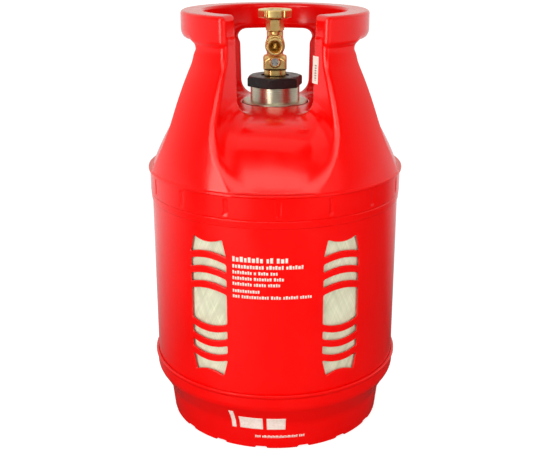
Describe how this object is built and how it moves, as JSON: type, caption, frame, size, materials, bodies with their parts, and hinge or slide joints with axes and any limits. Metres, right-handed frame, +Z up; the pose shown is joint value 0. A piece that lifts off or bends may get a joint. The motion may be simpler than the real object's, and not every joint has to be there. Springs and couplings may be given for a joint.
{
  "type": "composite gas cylinder",
  "caption": "Upright composite gas cylinder in a moulded casing with side windows, a carrying ring with hand openings, and a brass handwheel valve with side outlet.",
  "frame": {"origin": "middle of the base, on the floor", "axes": "+Z up along the cylinder, -Y is the front, where the valve outlet points, +X to the right seen from the front"},
  "size_m": [0.305, 0.305, 0.5],
  "materials": {
    "casing_red": "moulded polyethylene with a light orange-peel surface",
    "label_white": "printed film",
    "glass_fibre": "translucent wound glass fibre in resin",
    "liner_natural": "natural polyethylene",
    "boss_metal": "turned",
    "nut_black": "black anodised",
    "brass": "machined",
    "rubber_black": "moulded",
    "washer_white": "low-friction plastic",
    "steel": "plated"
  },
  "bodies": {
    "cylinder": {"base_cup": "casing_red", "middle_casing": "casing_red", "upper_casing": "casing_red", "date_label": "label_white", "liner": "liner_natural", "composite_shell": "glass_fibre", "boss_insert": "boss_metal", "boss_collar": "boss_metal", "boss_oring": "rubber_black", "neck_seal": "rubber_black", "neck_nut": "nut_black", "valve_body": "brass", "gland_nut": "brass", "gland_washer": "washer_white", "spindle_oring": "rubber_black", "thrust_washer": "washer_white", "relief_spring": "steel", "relief_retainer": "steel"},
    "handwheel_set": {"spindle": "brass", "handwheel": "brass", "handwheel_nut": "steel"},
    "plug": {"valve_plug": "brass", "plug_seat_disc": "washer_white"},
    "relief": {"relief_poppet": "brass", "relief_seal": "rubber_black"}
  },
  "joints": [
    {"name": "handwheel_turn", "type": "hinge", "parent": "cylinder", "child": "handwheel_set", "pos_m": [0, 0, 0.48], "axis": [0, 0, 1], "range_deg": [0, 810]},
    {"name": "plug_lift", "type": "slide", "parent": "handwheel_set", "child": "plug", "axis": [0, 0, 1], "range_m": [0, 0.00338]},
    {"name": "relief_open", "type": "slide", "parent": "cylinder", "child": "relief", "axis": [0, -1, 0], "range_m": [0, 0.0012], "stiffness_N_per_m": 150, "springref_m": -0.001, "deforming": ["relief_spring"]}
  ],
  "couplings": [
    {"joint": "plug_lift", "follows": "handwheel_turn", "m_per_rad": 0.00023873}
  ]
}
